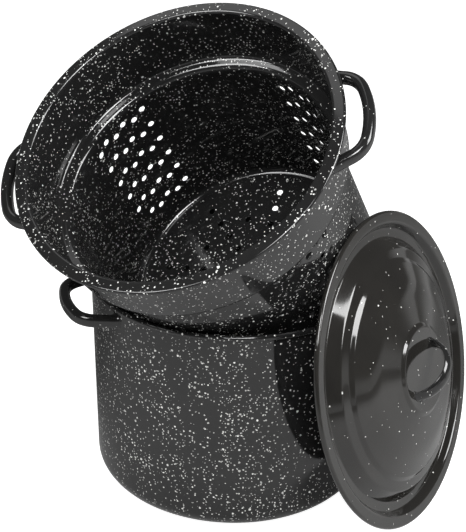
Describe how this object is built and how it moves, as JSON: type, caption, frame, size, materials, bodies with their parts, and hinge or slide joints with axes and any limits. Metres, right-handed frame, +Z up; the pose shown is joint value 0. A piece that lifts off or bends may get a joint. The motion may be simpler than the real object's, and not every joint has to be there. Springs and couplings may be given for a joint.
{
  "type": "water bath canner",
  "caption": "Enamelled steel canner: round stockpot with side grips, a perforated insert propped in its mouth and a domed lid leaning beside it.",
  "frame": {"origin": "centre of the pot's base, on the floor it stands on", "axes": "+Z up along the pot's axis, -Y towards the front, +X to the right"},
  "size_m": [0.4543, 0.3614, 0.4697],
  "materials": {
    "enamel_outside": "speckled gloss",
    "enamel_inside": "speckled gloss",
    "enamel_lid": "speckled gloss",
    "enamel_grips": "speckled gloss"
  },
  "bodies": {
    "pot": {"pot_shell": "enamel_outside", "pot_handle_left": "enamel_grips", "pot_handle_right": "enamel_grips"},
    "insert": {"insert_shell": "enamel_inside", "insert_handle_left": "enamel_grips", "insert_handle_right": "enamel_grips"},
    "lid": {"lid_shell": "enamel_lid", "lid_handle": "enamel_grips"}
  },
  "joints": [
    {"name": "insert_lift", "type": "slide", "parent": "pot", "child": "insert", "axis": [-0.3202, -0.5145, 0.7955], "range_m": [0, 0.22]},
    {"name": "lid_away", "type": "slide", "parent": "pot", "child": "lid", "axis": [0.826, -0.4885, 0.2813], "range_m": [0, 0.25]}
  ]
}
